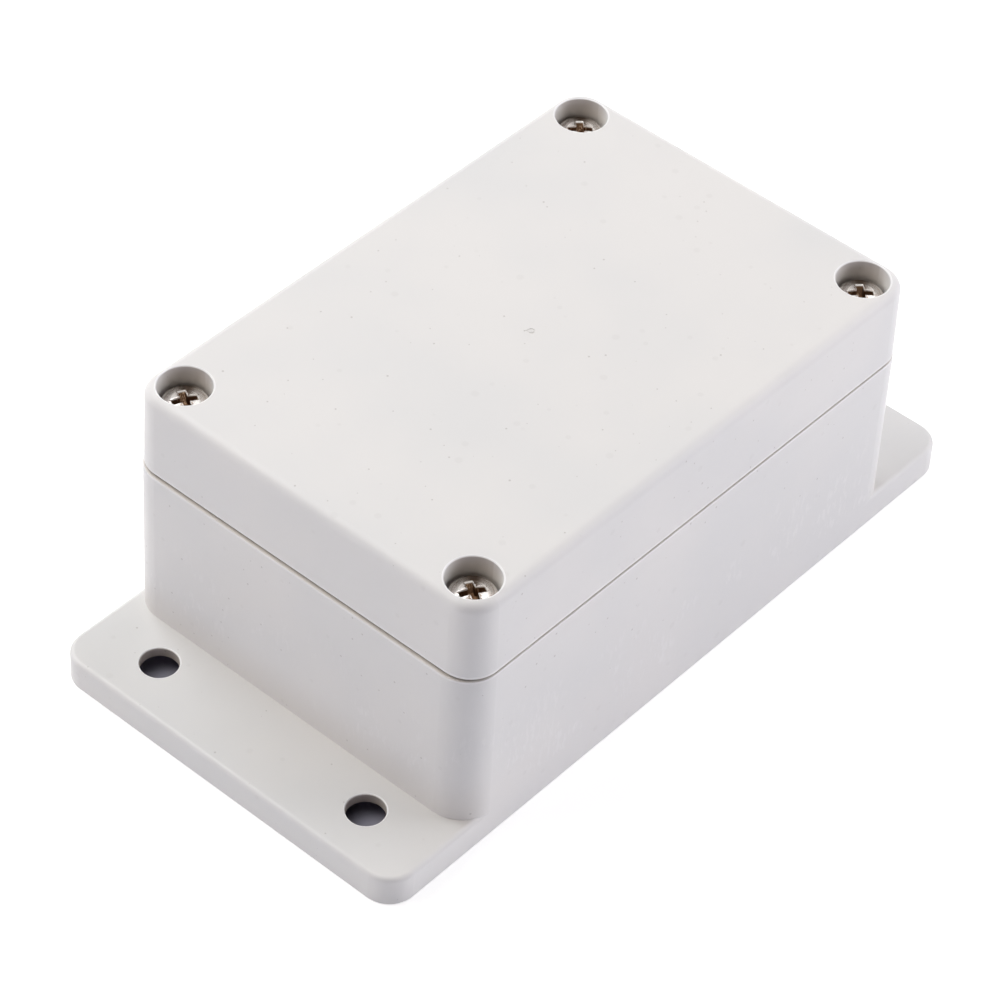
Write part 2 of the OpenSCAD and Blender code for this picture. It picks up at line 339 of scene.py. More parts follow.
def round_body(name, rings, corners):
    """Solid of revolution, drawn up from a disc through rings of radius and height."""
    clear_selection()
    radius, height = rings[0]
    bpy.ops.mesh.primitive_circle_add(
        vertices=corners, radius=radius, fill_type="NGON", location=(0, 0, height)
    )
    piece = name_piece(name)
    apply_place()
    edit(piece)
    bpy.ops.mesh.select_all(action="SELECT")
    for (radius, height), (next_radius, next_height) in zip(rings, rings[1:]):
        extrude(0, next_height - height)
        widen(next_radius / radius, next_height)
    turn_faces_out()
    bpy.ops.object.mode_set(mode="OBJECT")
    return piece


def apply_modifier(piece, kind, **settings):
    """Adds a modifier with its settings and applies it."""
    pick(piece)
    modifier = piece.modifiers.new(kind.title(), kind)
    for name, value in settings.items():
        setattr(modifier, name, value)
    bpy.ops.object.modifier_apply(modifier=modifier.name)


def bevel_edges(piece, width, segments, degrees):
    """Bevels the edges that are sharper than an angle."""
    limit = math.radians(degrees)
    apply_modifier(
        piece, "BEVEL", width=width, segments=segments, limit_method="ANGLE", angle_limit=limit
    )


def combine(piece, other, how):
    """Adds another piece to a piece, cuts it off, or keeps what they share. The other piece is used up."""
    apply_modifier(piece, "BOOLEAN", operation=how, solver="EXACT", object=other)
    bpy.data.objects.remove(other)


def smooth(piece, degrees):
    """Shades a piece smooth apart from edges sharper than an angle."""
    pick(piece)
    bpy.ops.object.shade_smooth_by_angle(angle=math.radians(degrees))


def threaded_rod(name, outer, depth, pitch, low, high):
    """Rod with an outside thread between two heights, flat at both ends."""
    clear_selection()
    flat = pitch / 8
    flank = (pitch - 3 * flat) / 2
    outline = [(0, flat), (depth, flank), (0, flat), (-depth, flank), (0, flat)]
    spare = 2
    bpy.ops.mesh.primitive_plane_add(size=MM, location=(outer - depth, 0, low - spare * pitch))
    rod = name_piece(name)
    apply_place()
    edit(rod, "VERT")
    bpy.ops.mesh.select_all(action="SELECT")
    bpy.ops.mesh.merge(type="CENTER")
    for outwards, upwards in outline:
        extrude(outwards, upwards)
    bpy.ops.object.mode_set(mode="OBJECT")
    apply_modifier(
        rod,
        "SCREW",
        axis="Z",
        angle=math.tau,
        screw_offset=pitch,
        iterations=math.ceil((high - low) / pitch) + 2 * spare,
        steps=32,
        render_steps=32,
        use_merge_vertices=True,
        merge_threshold=TINY,
    )
    edit(rod)
    turn_faces_out()
    for height, side in ((low, -1), (high, 1)):
        bpy.ops.mesh.select_all(action="SELECT")
        bpy.ops.mesh.bisect(
            plane_co=(0, 0, height), plane_no=(0, 0, side), use_fill=True, clear_outer=True, threshold=TINY
        )
    turn_faces_out()
    bpy.ops.object.mode_set(mode="OBJECT")
    return rod


def head_rings(look, radius, height):
    """Rings of a pan head from its seat to the top of its dome."""
    edge = look.edge_rounding
    rings = [(radius - edge, 0)]
    for turn in map(math.radians, (30, 60, 90)):
        rings.append((radius - edge + edge * math.sin(turn), edge - edge * math.cos(turn)))
    rise = height - look.head_edge
    dome = (radius * radius + rise * rise) / (2 * rise)
    shoulder = (radius * 0.991, look.head_edge + edge * 0.18)
    rings += [(radius, look.head_edge - edge / 2), shoulder]
    for part in (0.96, 0.9, 0.8, 0.7, 0.6, 0.45, 0.3, 0.15):
        reach = radius * part
        rings.append((reach, height - dome + math.sqrt(dome * dome - reach * reach)))
    return rings


def cross_cutter(look, top):
    """Cutter for the cross recess: four arms that taper towards a pointed bottom."""
    width, depth, point = look.recess_width, look.recess_depth, look.recess_point
    arm = look.recess_across / 2 - width / 2
    arm_taper, floor_taper, point_taper = 0.5, 0.82, 0.25
    above = 0.4 * MM
    half_way, floor = top - depth / 2, top - depth
    clear_selection()
    bpy.ops.mesh.primitive_cube_add(size=1, location=(0, 0, top + (above - depth) / 2))
    cutter = name_piece("cross_cutter")
    cutter.scale = (width, width, depth + above)
    apply_place()
    edit(cutter)
    select_where(cutter, "FACE", lambda face: abs(face.normal.z) < 0.5)
    bpy.ops.mesh.inset(thickness=0, depth=arm, use_individual=True)
    for axis, side in ((0, 1), (0, -1), (1, 1), (1, -1)):
        inwards = Vector()
        inwards[axis] = -side * arm_taper * arm
        select_where(cutter, "VERT", lambda dot: dot.co[axis] * side > width and dot.co.z < half_way)
        bpy.ops.transform.translate(value=inwards)
    select_where(cutter, "VERT", lambda dot: dot.co.z < half_way)
    widen(floor_taper, floor)

    def at_centre(face):
        return face.normal.z < -0.9 and face.calc_center_median().xy.length < width / 4

    select_where(cutter, "FACE", at_centre)
    extrude(0, -point)
    widen(point_taper, floor)
    turn_faces_out()
    bpy.ops.object.mode_set(mode="OBJECT")
    return cutter


def screw_blank(look):
    """Lid screw at the origin, with its seat at height 0."""
    radius = SCREW_SIZE.x / 2
    height = SCREW_SIZE.z - look.shank_length
    head = round_body("screw", head_rings(look, radius, height), corners=72)
    combine(head, cross_cutter(look, height), "DIFFERENCE")
    bevel_edges(head, look.recess_edge, segments=2, degrees=38)
    inside = 0.25 * MM
    low, high = -look.shank_length - look.pitch, inside + look.pitch
    rod = threaded_rod("shank", look.shank_radius, look.thread_depth, look.pitch, low, high)
    bevel = look.tip_bevel
    past_crests = look.shank_radius * 1.02
    rings = [
        (past_crests - bevel, -look.shank_length),
        (past_crests, bevel - look.shank_length),
        (past_crests, inside),
    ]
    combine(rod, round_body("shank_blank", rings, corners=64), "INTERSECT")
    combine(head, rod, "UNION")
    smooth(head, degrees=32)
    return head


def insert_blank(look):
    """Threaded insert at the origin, standing on height 0."""
    radius, height = INSERT_SIZE.x / 2, INSERT_SIZE.z
    waist = radius - look.waist_depth
    chamfer = look.waist_depth
    tall = height * 0.4 - chamfer  # Height of a knurled band
    corners = 2 * look.knurl_teeth
    rows = look.knurl_rows
    starts = (chamfer, height - chamfer - tall)
    lower, upper = ([(radius, start + tall * row / rows) for row in range(rows + 1)] for start in starts)
    groove = [(waist, 2 * chamfer + tall), (waist, height - 2 * chamfer - tall)]
    insert = round_body("insert", [(waist, 0), *lower, *groove, *upper, (waist, height)], corners)
    step = math.tau / corners
    edit(insert)
    for start in starts:

        def in_hollow(point):
            row = (point.co.z - start) / tall * rows
            if not -0.1 < row < rows + 0.1:
                return False
            place = round((math.atan2(point.co.y, point.co.x) % math.tau) / step)
            return (place + round(row)) % 2 == 1

        select_where(insert, "VERT", in_hollow)
        widen(1 - look.knurl_depth / radius, 0)
    bpy.ops.object.mode_set(mode="OBJECT")
    over = 0.5 * MM
    tapped = look.bore_radius + look.thread_depth
    tap = threaded_rod("tap", tapped, look.thread_depth, look.pitch, -over, height + over)
    combine(insert, tap, "DIFFERENCE")
    mouth = tapped + 0.08 * MM
    rings = [(mouth - look.sink_depth, height - look.sink_depth), (mouth, height), (mouth, height + over)]
    combine(insert, round_body("countersink", rings, corners=64), "DIFFERENCE")
    smooth(insert, degrees=28)
    return insert


def set_down(blank, name, node, turn, height):
    """Copies a piece to the place of a solid, which it then stands for."""
    pick(blank)
    bpy.ops.object.duplicate(linked=False)
    piece = name_piece(name)
    low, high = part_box(node)
    piece.rotation_euler.z = turn
    piece.location = ((low.x + high.x) / 2, (low.y + high.y) / 2, height)
    apply_place()
    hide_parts(node)
    return piece


# ----- Nodes: each function adds nodes to a tree and returns the output to read -----


def put(tree, kind, settings=None, **feeds):
    """Adds a node and returns it. Feeds are its inputs by name, each a value or another node's output."""
    made = tree.nodes.new(kind)
    row, column = divmod(len(tree.nodes), 8)
    made.location = (220 * column, -260 * row)
    for name, value in (settings or {}).items():
        setattr(made, name, value)
    for name, value in feeds.items():
        feed(tree, made.inputs[name.replace("_", " ")], value)
    return made


def feed(tree, socket, value):
    """Sets a socket to a value, or links another node's output to it. A colour gets full alpha."""
    if isinstance(value, bpy.types.NodeSocket):
        tree.links.new(value, socket)
    elif socket.type == "RGBA":
        socket.default_value = (*value, 1.0)
    else:
        socket.default_value = value


def feed_all(tree, made, *values):
    """Feeds a node's first inputs in their order."""
    for place, value in enumerate(values):
        feed(tree, made.inputs[place], value)


def calculate(tree, operation, *values):
    """Result of a Math node."""
    made = put(tree, "ShaderNodeMath", {"operation": operation})
    feed_all(tree, made, *values)
    return made.outputs[0]


def times(tree, *values):
    """Product of all values."""
    return reduce(lambda one, other: calculate(tree, "MULTIPLY", one, other), values)


def largest(tree, *values):
    """Largest of all values."""
    return reduce(lambda one, other: calculate(tree, "MAXIMUM", one, other), values)


def fade(tree, value, low, high, to_low=0.0, to_high=1.0):
    """Smooth step of a value from one level to another."""
    made = put(tree, "ShaderNodeMapRange", {"interpolation_type": "SMOOTHSTEP"})
    feed_all(tree, made, value, low, high, to_low, to_high)
    return made.outputs[0]


def band(tree, value, low, high, soft):
    """1 while a value lies between two levels, with soft ends."""
    return times(tree, fade(tree, value, low - soft, low), fade(tree, value, high + soft, high))


def with_vectors(tree, operation, first, second):
    """Vector Math node on two vectors."""
    made = put(tree, "ShaderNodeVectorMath", {"operation": operation})
    feed_all(tree, made, first, second)
    return made.outputs


def mix_colours(tree, part, first, second):
    """Colour between two colours."""
    made = put(tree, "ShaderNodeMix", {"data_type": "RGBA"})
    for place, value in ((0, part), (6, first), (7, second)):
        feed(tree, made.inputs[place], value)
    return made.outputs[2]


def varied(tree, base, mask, change):
    """Base value, changed by an amount where a mask is 1."""
    return calculate(tree, "MULTIPLY_ADD", mask, change, base)


def noise(tree, place, **settings):
    """Value of a noise at a place."""
    return put(tree, "ShaderNodeTexNoise", Vector=place, **settings).outputs[0]


def along(tree, place, axis):
    """Signed distance from the middle of the box along an axis, or the height for Z."""
    return put(tree, "ShaderNodeSeparateXYZ", Vector=place).outputs[axis]


def away(tree, place, axis):
    """Distance from the middle of the box along an axis."""
    return calculate(tree, "ABSOLUTE", along(tree, place, axis))


def slant_of(tree, one, other):
    """Long side of a right triangle with two short sides."""
    squares = times(tree, one, one), times(tree, other, other)
    return calculate(tree, "SQRT", calculate(tree, "ADD", *squares))


def divided(tree, vector, size):
    """Vector divided by a size."""
    scale = calculate(tree, "DIVIDE", 1.0, size)
    return put(tree, "ShaderNodeVectorMath", {"operation": "SCALE"}, Vector=vector, Scale=scale).outputs[0]


# ----- Shared surface effects -----


def new_group(name, numbers, results):
    """Shader node group with a Vector input, number inputs with defaults, and number outputs.

    Returns its tree, inputs and outputs.
    """
    tree = bpy.data.node_groups.new(name, "ShaderNodeTree")
    tree.interface.new_socket("Vector", in_out="INPUT", socket_type="NodeSocketVector")
    for label, default in numbers.items():
        socket = tree.interface.new_socket(label, in_out="INPUT", socket_type="NodeSocketFloat")
        socket.default_value = default
    for label in results:
        tree.interface.new_socket(label, in_out="OUTPUT", socket_type="NodeSocketFloat")
    return tree, put(tree, "NodeGroupInput").outputs, put(tree, "NodeGroupOutput").inputs


def use_group(tree, name, place, **feeds):
    """Places a shared node group, with a place for its Vector. Returns its outputs."""
    made = put(tree, "ShaderNodeGroup", {"node_tree": bpy.data.node_groups[name]}, Vector=place)
    for label, value in feeds.items():
        feed(tree, made.inputs[label], value)
    return made.outputs


def grain_group():
    """Even grain of a surface at one size: a height, and a softer tone."""
    tree, inputs, outputs = new_group("Grain", {"Size": MM}, ["Height", "Tone"])
    place = divided(tree, inputs["Vector"], inputs["Size"])
    soft = noise(tree, place, Scale=0.31, Detail=2.0, Roughness=0.5)
    feed(tree, outputs["Height"], noise(tree, place, Scale=1.0, Detail=3.0, Roughness=0.55))
    feed(tree, outputs["Tone"], fade(tree, soft, 0.32, 0.68))


def speck_group():
    """Scattered round specks of uneven size."""
    numbers = {"Spacing": 3 * MM, "Radius": 0.2 * MM, "Share": 0.5}
    tree, inputs, outputs = new_group("Specks", numbers, ["Mask"])
    place = divided(tree, inputs["Vector"], inputs["Spacing"])
    cells = put(tree, "ShaderNodeTexVoronoi", Vector=place, Scale=1.0)
    chance = put(tree, "ShaderNodeSeparateColor", Color=cells.outputs["Color"]).outputs
    least, soft = 0.3, 0.55
    reach = calculate(tree, "DIVIDE", inputs["Radius"], inputs["Spacing"])
    reach = times(tree, reach, varied(tree, least, chance[0], 1 - least))
    inside = fade(tree, cells.outputs["Distance"], reach, times(tree, reach, soft))
    chosen = calculate(tree, "LESS_THAN", chance[1], inputs["Share"])
    feed(tree, outputs["Mask"], times(tree, inside, chosen))


def rub_group():
    """Fine marks drawn out along the third axis, in loose patches."""
    numbers = {"Width": 0.7 * MM, "Stretch": 6.0, "Level": 0.55}
    tree, inputs, outputs = new_group("Rub marks", numbers, ["Mask"])
    place = divided(tree, inputs["Vector"], inputs["Width"])
    squeeze = calculate(tree, "DIVIDE", 1.0, inputs["Stretch"])
    squeeze = put(tree, "ShaderNodeCombineXYZ", X=1.0, Y=1.0, Z=squeeze).outputs[0]
    drawn = with_vectors(tree, "MULTIPLY", place, squeeze)[0]
    marks = noise(tree, drawn, Scale=1.0, Detail=3.0, Roughness=0.6)
    patches = noise(tree, place, Scale=0.09, Detail=2.0, Roughness=0.5)
    level, soft = inputs["Level"], 0.14
    marks = fade(tree, marks, level, calculate(tree, "ADD", level, soft))
    feed(tree, outputs["Mask"], times(tree, marks, fade(tree, patches, 0.46, 0.62)))


def axis_group():
    """Distance from the nearest of four upright axes, which stand alike round the middle."""
    numbers = {"Axis X": 44 * MM, "Axis Y": 28 * MM}
    tree, inputs, outputs = new_group("Upright axes", numbers, ["Radius", "Height"])
    place = inputs["Vector"]
    gaps = [calculate(tree, "SUBTRACT", away(tree, place, axis), inputs["Axis " + axis]) for axis in "XY"]
    feed(tree, outputs["Radius"], slant_of(tree, *gaps))
    feed(tree, outputs["Height"], along(tree, place, "Z"))


def outline_group():
    """Distance inwards from the rounded rectangle of the box's outside."""
    numbers = {"Half X": 50 * MM, "Half Y": 34 * MM, "Corner": 5 * MM}
    tree, inputs, outputs = new_group("Box outline", numbers, ["Inset"])
    gaps = []
    for axis in "XY":
        core = calculate(tree, "SUBTRACT", inputs["Half " + axis], inputs["Corner"])
        gap = calculate(tree, "SUBTRACT", away(tree, inputs["Vector"], axis), core)
        gaps.append(largest(tree, gap, 0.0))
    feed(tree, outputs["Inset"], calculate(tree, "SUBTRACT", inputs["Corner"], slant_of(tree, *gaps)))


def from_axis(tree, place, x, y):
    """Distance from the nearest of four upright axes, which stand at x and y from the middle, and height."""
    made = use_group(tree, "Upright axes", place, **{"Axis X": x, "Axis Y": y})
    return made["Radius"], made["Height"]


def from_screw_axis(tree, place):
    """Distance from the nearest screw axis, and height."""
    low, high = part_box("screw_back_right")
    axis = (low + high) / 2
    return from_axis(tree, place, axis.x, axis.y)


def from_outline(tree, place, look):
    """Distance inwards from the outside of the base at its foot, which stands out past the lid."""
    past_x, past_y = 0.8 * MM, 0.4 * MM
    sizes = {"Half X": LID_HIGH.x + past_x, "Half Y": LID_HIGH.y + past_y, "Corner": look.corner_radius}
    return use_group(tree, "Box outline", place, **sizes)["Inset"]


def specks_at(tree, place, spacing, radius, part):
    """Mask of specks with a spacing, a largest radius and a share of the places that have one."""
    return use_group(tree, "Specks", place, Spacing=spacing, Radius=radius, Share=part)["Mask"]


def facing(tree, turn):
    """How far the surface faces a level direction, from -1 to 1."""
    normal = put(tree, "ShaderNodeTexCoord").outputs["Normal"]
    return with_vectors(tree, "DOT_PRODUCT", normal, direction(turn, 0.0))["Value"]


# ----- Materials -----


def new_material(name):
    """Empty material. Returns it with its tree and its Object coordinates."""
    material = bpy.data.materials.new(name)
    material.use_nodes = True
    tree = material.node_tree
    tree.nodes.clear()
    return material, tree, put(tree, "ShaderNodeTexCoord").outputs["Object"]


def add_shader(tree, **feeds):
    """Gives a material its Principled shader."""
    shader = put(tree, "ShaderNodeBsdfPrincipled", **feeds)
    put(tree, "ShaderNodeOutputMaterial", Surface=shader.outputs[0])


def bump(tree, height, distance, strength):
    """Normal of a relief."""
    return put(tree, "ShaderNodeBump", Height=height, Distance=distance, Strength=strength).outputs[0]


def plastic_material(look):
    """Satin moulded plastic: mottling, grain, specks and rub marks, with painted highlights along thin edges
    and painted shade low on the end walls, beside the seam and in pockets and holes.
    """
    material, tree, place = new_material("moulded_plastic")
    height = along(tree, place, "Z")
    grain = use_group(tree, "Grain", place, Size=look.grain_size)
    mottle = use_group(tree, "Grain", place, Size=look.mottle_size)
    specks = specks_at(tree, place, look.speck_spacing, look.speck_size, 0.6)
    smudges = specks_at(tree, place, look.smudge_spacing, look.smudge_size, 0.8)
    rubs = use_group(tree, "Rub marks", place, Width=look.rub_size, Stretch=3.0, Level=0.5)["Mask"]
    low_down = fade(tree, height, look.rub_height, 0.4 * look.rub_height)
    on_walls = fade(tree, height, look.flange_height, look.flange_height + MM)
    rubbed = times(tree, rubs, low_down, on_walls)
    tone = mix_colours(tree, mottle["Tone"], look.plastic, look.mottle)
    for mask, strength, other in (
        (rubbed, 0.5, look.rub),
        # painted shade low on the end walls
        (painted_foot_shade(tree, place, height, look), 1.0, look.foot),
        (specks, 0.4, look.speck),
        (smudges, 0.06, look.speck),
        (gate_marks(tree, place), 0.5, look.speck),
        # painted highlights along thin edges
        (painted_edge_highlights(tree, place, height, look), 0.85, look.edge),
        # painted shade beside the seam
        (painted_seam_shade(tree, place, height, look), 1.0, look.seam),
        # painted shade on the pocket walls that face one way
        (painted_pocket_shade(tree, place, look), 0.48, look.pocket),
        # painted shade on the mounting hole walls
        (painted_hole_shade(tree, place, look), 0.6, look.pocket),
    ):
        tone = mix_colours(tree, times(tree, mask, strength), tone, other)
    rough = varied(tree, look.roughness, grain["Tone"], 0.06)
    rough = varied(tree, rough, rubbed, 0.1)
    relief = bump(tree, grain["Height"], 0.02 * MM, 0.35)
    add_shader(tree, Base_Color=tone, Roughness=rough, Normal=relief)
    return material


def painted_foot_shade(tree, place, height, look):
    """Painted shade: 1 low on the end walls, just above the flanges, fading out upwards and round the
    corners.
    """
    end = LID_HIGH.x
    near_end = fade(tree, away(tree, place, "X"), end - look.corner_radius, end - MM)
    above = calculate(tree, "GREATER_THAN", height, look.flange_height)
    low = fade(tree, height, look.foot_shade_height, look.flange_height)
    outside = fade(tree, from_outline(tree, place, look), 2 * MM, MM)
    return times(tree, above, low, near_end, outside)


def painted_seam_shade(tree, place, height, look):
    """Painted shade: 1 on the outer part of the base's rim, beside the seam."""
    rim, soft = look.rim_height, 0.03 * MM
    level_with_rim = band(tree, height, rim - 0.08 * MM, rim + 0.04 * MM, soft)
    return times(tree, level_with_rim, fade(tree, from_outline(tree, place, look), 1.6 * MM, 1.3 * MM))


def painted_edge_highlights(tree, place, height, look):
    """Painted highlights: 1 along the lid's foot, the rim's outer edge and the mouths of the pockets and the
    mounting holes.
    """
    width, soft = look.edge_width, look.edge_width / 2
    from_seam = 0.1 * MM
    foot, rim = LID_LOW.z + from_seam, look.rim_height - from_seam
    lines = largest(
        tree,
        band(tree, height, foot, foot + 1.5 * width, soft),
        band(tree, height, rim - width, rim, soft / 2),
    )
    outer = fade(tree, from_outline(tree, place, look), 2 * MM, 1.5 * MM, to_high=0.5)
    lines = times(tree, lines, outer)
    mouths = (
        (*from_screw_axis(tree, place), look.pocket_radius, LID_HIGH.z),
        (*from_axis(tree, place, look.mount_x, look.mount_y), look.mount_radius, look.flange_height),
    )
    for radius, level, hole, face in mouths:
        ring = band(tree, radius, hole, hole + width, soft / 4)
        ring = times(tree, ring, calculate(tree, "GREATER_THAN", level, face - width))
        lines = largest(tree, lines, ring)
    return lines


def gate_marks(tree, place):
    """1 on the small marks in and beside the ring of the moulding gate."""
    marks = []
    for x, y, radius in ((-0.62, 0.74, 0.2), (-0.40, 0.62, 0.16), (-0.02, -0.04, 0.11), (0.2, -0.26, 0.11)):
        gap = with_vectors(tree, "DISTANCE", place, (x * MM, y * MM, LID_HIGH.z))["Value"]
        marks.append(fade(tree, gap, radius * MM, 0.4 * radius * MM))
    return largest(tree, *marks)


def painted_pocket_shade(tree, place, look):
    """Painted shade: 1 on the walls of the screw pockets that face the way set for the shade, fading out
    round them.
    """
    radius, height = from_screw_axis(tree, place)
    inside = calculate(tree, "LESS_THAN", radius, look.pocket_radius + look.edge_width / 4)
    in_pocket = calculate(tree, "GREATER_THAN", height, LID_HIGH.z - look.pocket_depth)
    return times(tree, fade(tree, facing(tree, look.painted_shade_turn), 0.35, 1.0), inside, in_pocket)


def painted_hole_shade(tree, place, look):
    """Painted shade: 1 on the walls of the mounting holes."""
    radius, height = from_axis(tree, place, look.mount_x, look.mount_y)
    inside = calculate(tree, "LESS_THAN", radius, look.mount_radius + look.edge_width / 4)
    below_face = calculate(tree, "LESS_THAN", height, look.flange_height - 0.1 * MM)
    return times(tree, inside, below_face)


def nickel_material(look):
    """Nickel plating with turning marks, a painted sheen across the dome with painted glints and a painted
    dark reflection, and a cross recess painted dark as shade, with paler streaks.
    """
    material, tree, place = new_material("nickel_plate")
    grain = use_group(tree, "Grain", place, Size=0.5 * MM)
    radius, height = from_screw_axis(tree, place)
    depth = depth_below_dome(tree, radius, height, look)
    turned = calculate(tree, "DIVIDE", radius, look.ring_spacing)
    rings = put(tree, "ShaderNodeTexNoise", {"noise_dimensions": "1D"}, W=turned, Detail=1.0).outputs[0]
    marks = fade(tree, rings, 0.42, 0.58)
    unmarked = fade(tree, radius, 2.7 * MM, 1.9 * MM)
    # Painted sheen: the dome's sides, across the sheen direction, take the shining colour
    across, sheen_width = facing(tree, look.painted_sheen_turn + math.pi / 2), 0.17
    across = fade(tree, calculate(tree, "ABSOLUTE", across), 0.0, sheen_width)
    across = times(tree, across, largest(tree, marks, unmarked))
    # Painted glint where the dome and the recess's bevel face the sheen direction
    edges = fade(tree, facing(tree, look.painted_sheen_turn), 0.2, 0.5)
    faint = times(tree, marks, grain["Tone"], 0.15)
    # Where no sheen, glint or turning mark is painted, the dome takes the dark colour as a painted dark
    # reflection
    dome = mix_colours(tree, largest(tree, across, edges, faint), look.dull_and_dark_reflection, look.nickel)
    body = mix_colours(tree, times(tree, grain["Tone"], 0.35), look.steel, look.dull_and_dark_reflection)
    on_dome = fade(tree, depth, look.recess_edge + 0.15 * MM, look.recess_edge)
    # Painted shade: deep in the recess the plating is coloured dark, with paler streaks down its walls
    streaks = use_group(tree, "Rub marks", place, Width=0.16 * MM, Stretch=8.0, Level=0.46)
    inner = mix_colours(tree, streaks["Mask"], look.recess_shade, look.streak)
    sunk = in_recess(tree, radius, depth, look)
    tone = mix_colours(tree, sunk, mix_colours(tree, on_dome, body, dome), inner)
    rough = varied(tree, 0.28, marks, -0.1)
    rough = varied(tree, rough, sunk, 0.2)
    # Less metallic where the sheen is painted, so that the lamps light it as a pale sheen
    metal = varied(tree, 1.0, times(tree, across, on_dome), -0.7)
    relief = bump(tree, varied(tree, grain["Height"], rings, 0.6), 0.03 * MM, 0.3)
    add_shader(tree, Base_Color=tone, Roughness=rough, Metallic=metal, Normal=relief)
    return material


def depth_below_dome(tree, radius, height, look):
    """Depth below the dome of a screw's head."""
    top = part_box("screw_front_left")[1].z
    rise = SCREW_SIZE.z - look.shank_length - look.head_edge
    drop = times(tree, radius, radius, rise / (SCREW_SIZE.x / 2) ** 2)
    return calculate(tree, "SUBTRACT", calculate(tree, "SUBTRACT", top, drop), height)


def in_recess(tree, radius, depth, look):
    """1 down in the cross recess, where its shade is painted, and 0 on its bright edge and outside it."""
    edge = look.recess_edge
    seat = SCREW_SIZE.z - look.shank_length - 0.1 * MM
    below = fade(tree, depth, edge, edge + 0.25 * MM)
    inside = calculate(tree, "LESS_THAN", radius, look.recess_across / 2 + edge)
    return times(tree, below, inside, calculate(tree, "LESS_THAN", depth, seat))


def brass_material(look):
    """Turned brass with patches of tarnish."""
    material, tree, place = new_material("turned_brass")
    grain = use_group(tree, "Grain", place, Size=0.8 * MM)
    marks = use_group(tree, "Rub marks", place, Width=0.1 * MM, Stretch=0.3, Level=0.5)["Mask"]
    tone = mix_colours(tree, grain["Tone"], look.brass, look.tarnish)
    rough = varied(tree, 0.24, marks, 0.15)
    relief = bump(tree, marks, 0.02 * MM, 0.3)
    add_shader(tree, Base_Color=tone, Roughness=rough, Metallic=1.0, Normal=relief)
    return material


def silicone_material(look):
    """Matt silicone with a dusty bloom and lint."""
    material, tree, place = new_material("silicone")
    grain = use_group(tree, "Grain", place, Size=0.5 * MM)
    lint = specks_at(tree, place, 1.6 * MM, 0.2 * MM, 0.5)
    tone = mix_colours(tree, grain["Tone"], look.silicone, look.bloom)
    tone = mix_colours(tree, lint, tone, look.lint)
    rough = varied(tree, 0.55, grain["Tone"], 0.15)
    relief = bump(tree, grain["Height"], 0.04 * MM, 0.4)
    add_shader(tree, Base_Color=tone, Roughness=rough, Normal=relief)
    return material


def seen_directly(tree):
    """1 where the camera, a reflection or clear material looks straight at the surface."""
    path = put(tree, "ShaderNodeLightPath").outputs
    return largest(tree, path["Is Camera Ray"], path["Is Glossy Ray"], path["Is Transmission Ray"])


def floor_material(look):
    """Pale matt floor that glows a little where it is seen, so that it comes out white round the shadow.

    Under the flanges it is painted dark as shade, with a painted pool of light below each mounting hole.
    """
    material, tree, place = new_material("studio_floor")
    dust = use_group(tree, "Grain", place, Size=4 * MM)
    tone = mix_colours(tree, dust["Tone"], look.floor, look.floor * 0.995)
    # Painted shade: the ground under the base takes the dark shade colour and loses its glow
    under = covered(tree, place)
    mouldings = bpy.context.scene.box_mouldings
    # Painted light: a glow on the dark ground below each mounting hole
    slant, leak_edge, leak_core = 1.2 * MM, 4.4 * MM, 0.6 * MM
    radius, _ = from_axis(tree, place, mouldings.mount_x - slant, mouldings.mount_y)
    painted_hole_light = fade(tree, radius, leak_edge, leak_core, to_high=look.painted_hole_light)
    radius, _ = from_axis(tree, place, 0.0, 0.0)
    near, far = 300 * MM, 1200 * MM
    glow = fade(tree, radius, near, far, to_low=look.glow)
    glow = times(tree, calculate(tree, "SUBTRACT", 1.0, under), glow)
    glow = varied(tree, glow, painted_hole_light, under)
    add_shader(
        tree,
        Base_Color=mix_colours(tree, under, tone, look.shade),
        Roughness=0.9,
        Specular_IOR_Level=0.0,
        Emission_Color=mix_colours(tree, under, (1, 1, 1), look.painted_hole_light_tint),
        Emission_Strength=times(tree, seen_directly(tree), glow),
    )
    return material


def covered(tree, place):
    """1 on the ground that the base stands over, in from its outer walls."""
    size = node_size("base")
    inwards = 1.5 * MM
    sides = [
        calculate(tree, "LESS_THAN", away(tree, place, axis), reach / 2 - inwards)
        for axis, reach in (("X", size.x), ("Y", size.y))
    ]
    return times(tree, *sides)


def light_world(look):
    """White world where it is seen, and a soft fill from low down all round elsewhere."""
    world = bpy.data.worlds.new("studio_fill")
    world.use_nodes = True
    tree = world.node_tree
    tree.nodes.clear()
    rise = along(tree, put(tree, "ShaderNodeTexCoord").outputs["Object"], "Z")
    strength = fade(tree, rise, look.fill_height, 0.0, to_high=look.fill)
    fill = put(tree, "ShaderNodeBackground", Color=look.fill_tint, Strength=strength)
    white = put(tree, "ShaderNodeBackground", Color=(1, 1, 1), Strength=1.0)
    choice = put(tree, "ShaderNodeMixShader")
    feed_all(tree, choice, seen_directly(tree), fill.outputs[0], white.outputs[0])
    put(tree, "ShaderNodeOutputWorld", Surface=choice.outputs[0])
    bpy.context.scene.world = world


def dress(piece, material):
    """Gives a piece one material in all its slots."""
    slots = piece.data.materials
    if not slots:
        slots.append(material)
    for place in range(len(slots)):
        slots[place] = material


# ----- Operators -----


class PROJECT_BOX_OT_surfaces(Operator):
    """Build the shared node groups for grain, specks, rub marks and distances"""

    bl_idname = "project_box.surfaces"
    bl_label = "Shared surface effects"

    def execute(self, context):
        for build in (grain_group, speck_group, rub_group, axis_group, outline_group):
            build()
        return {"FINISHED"}


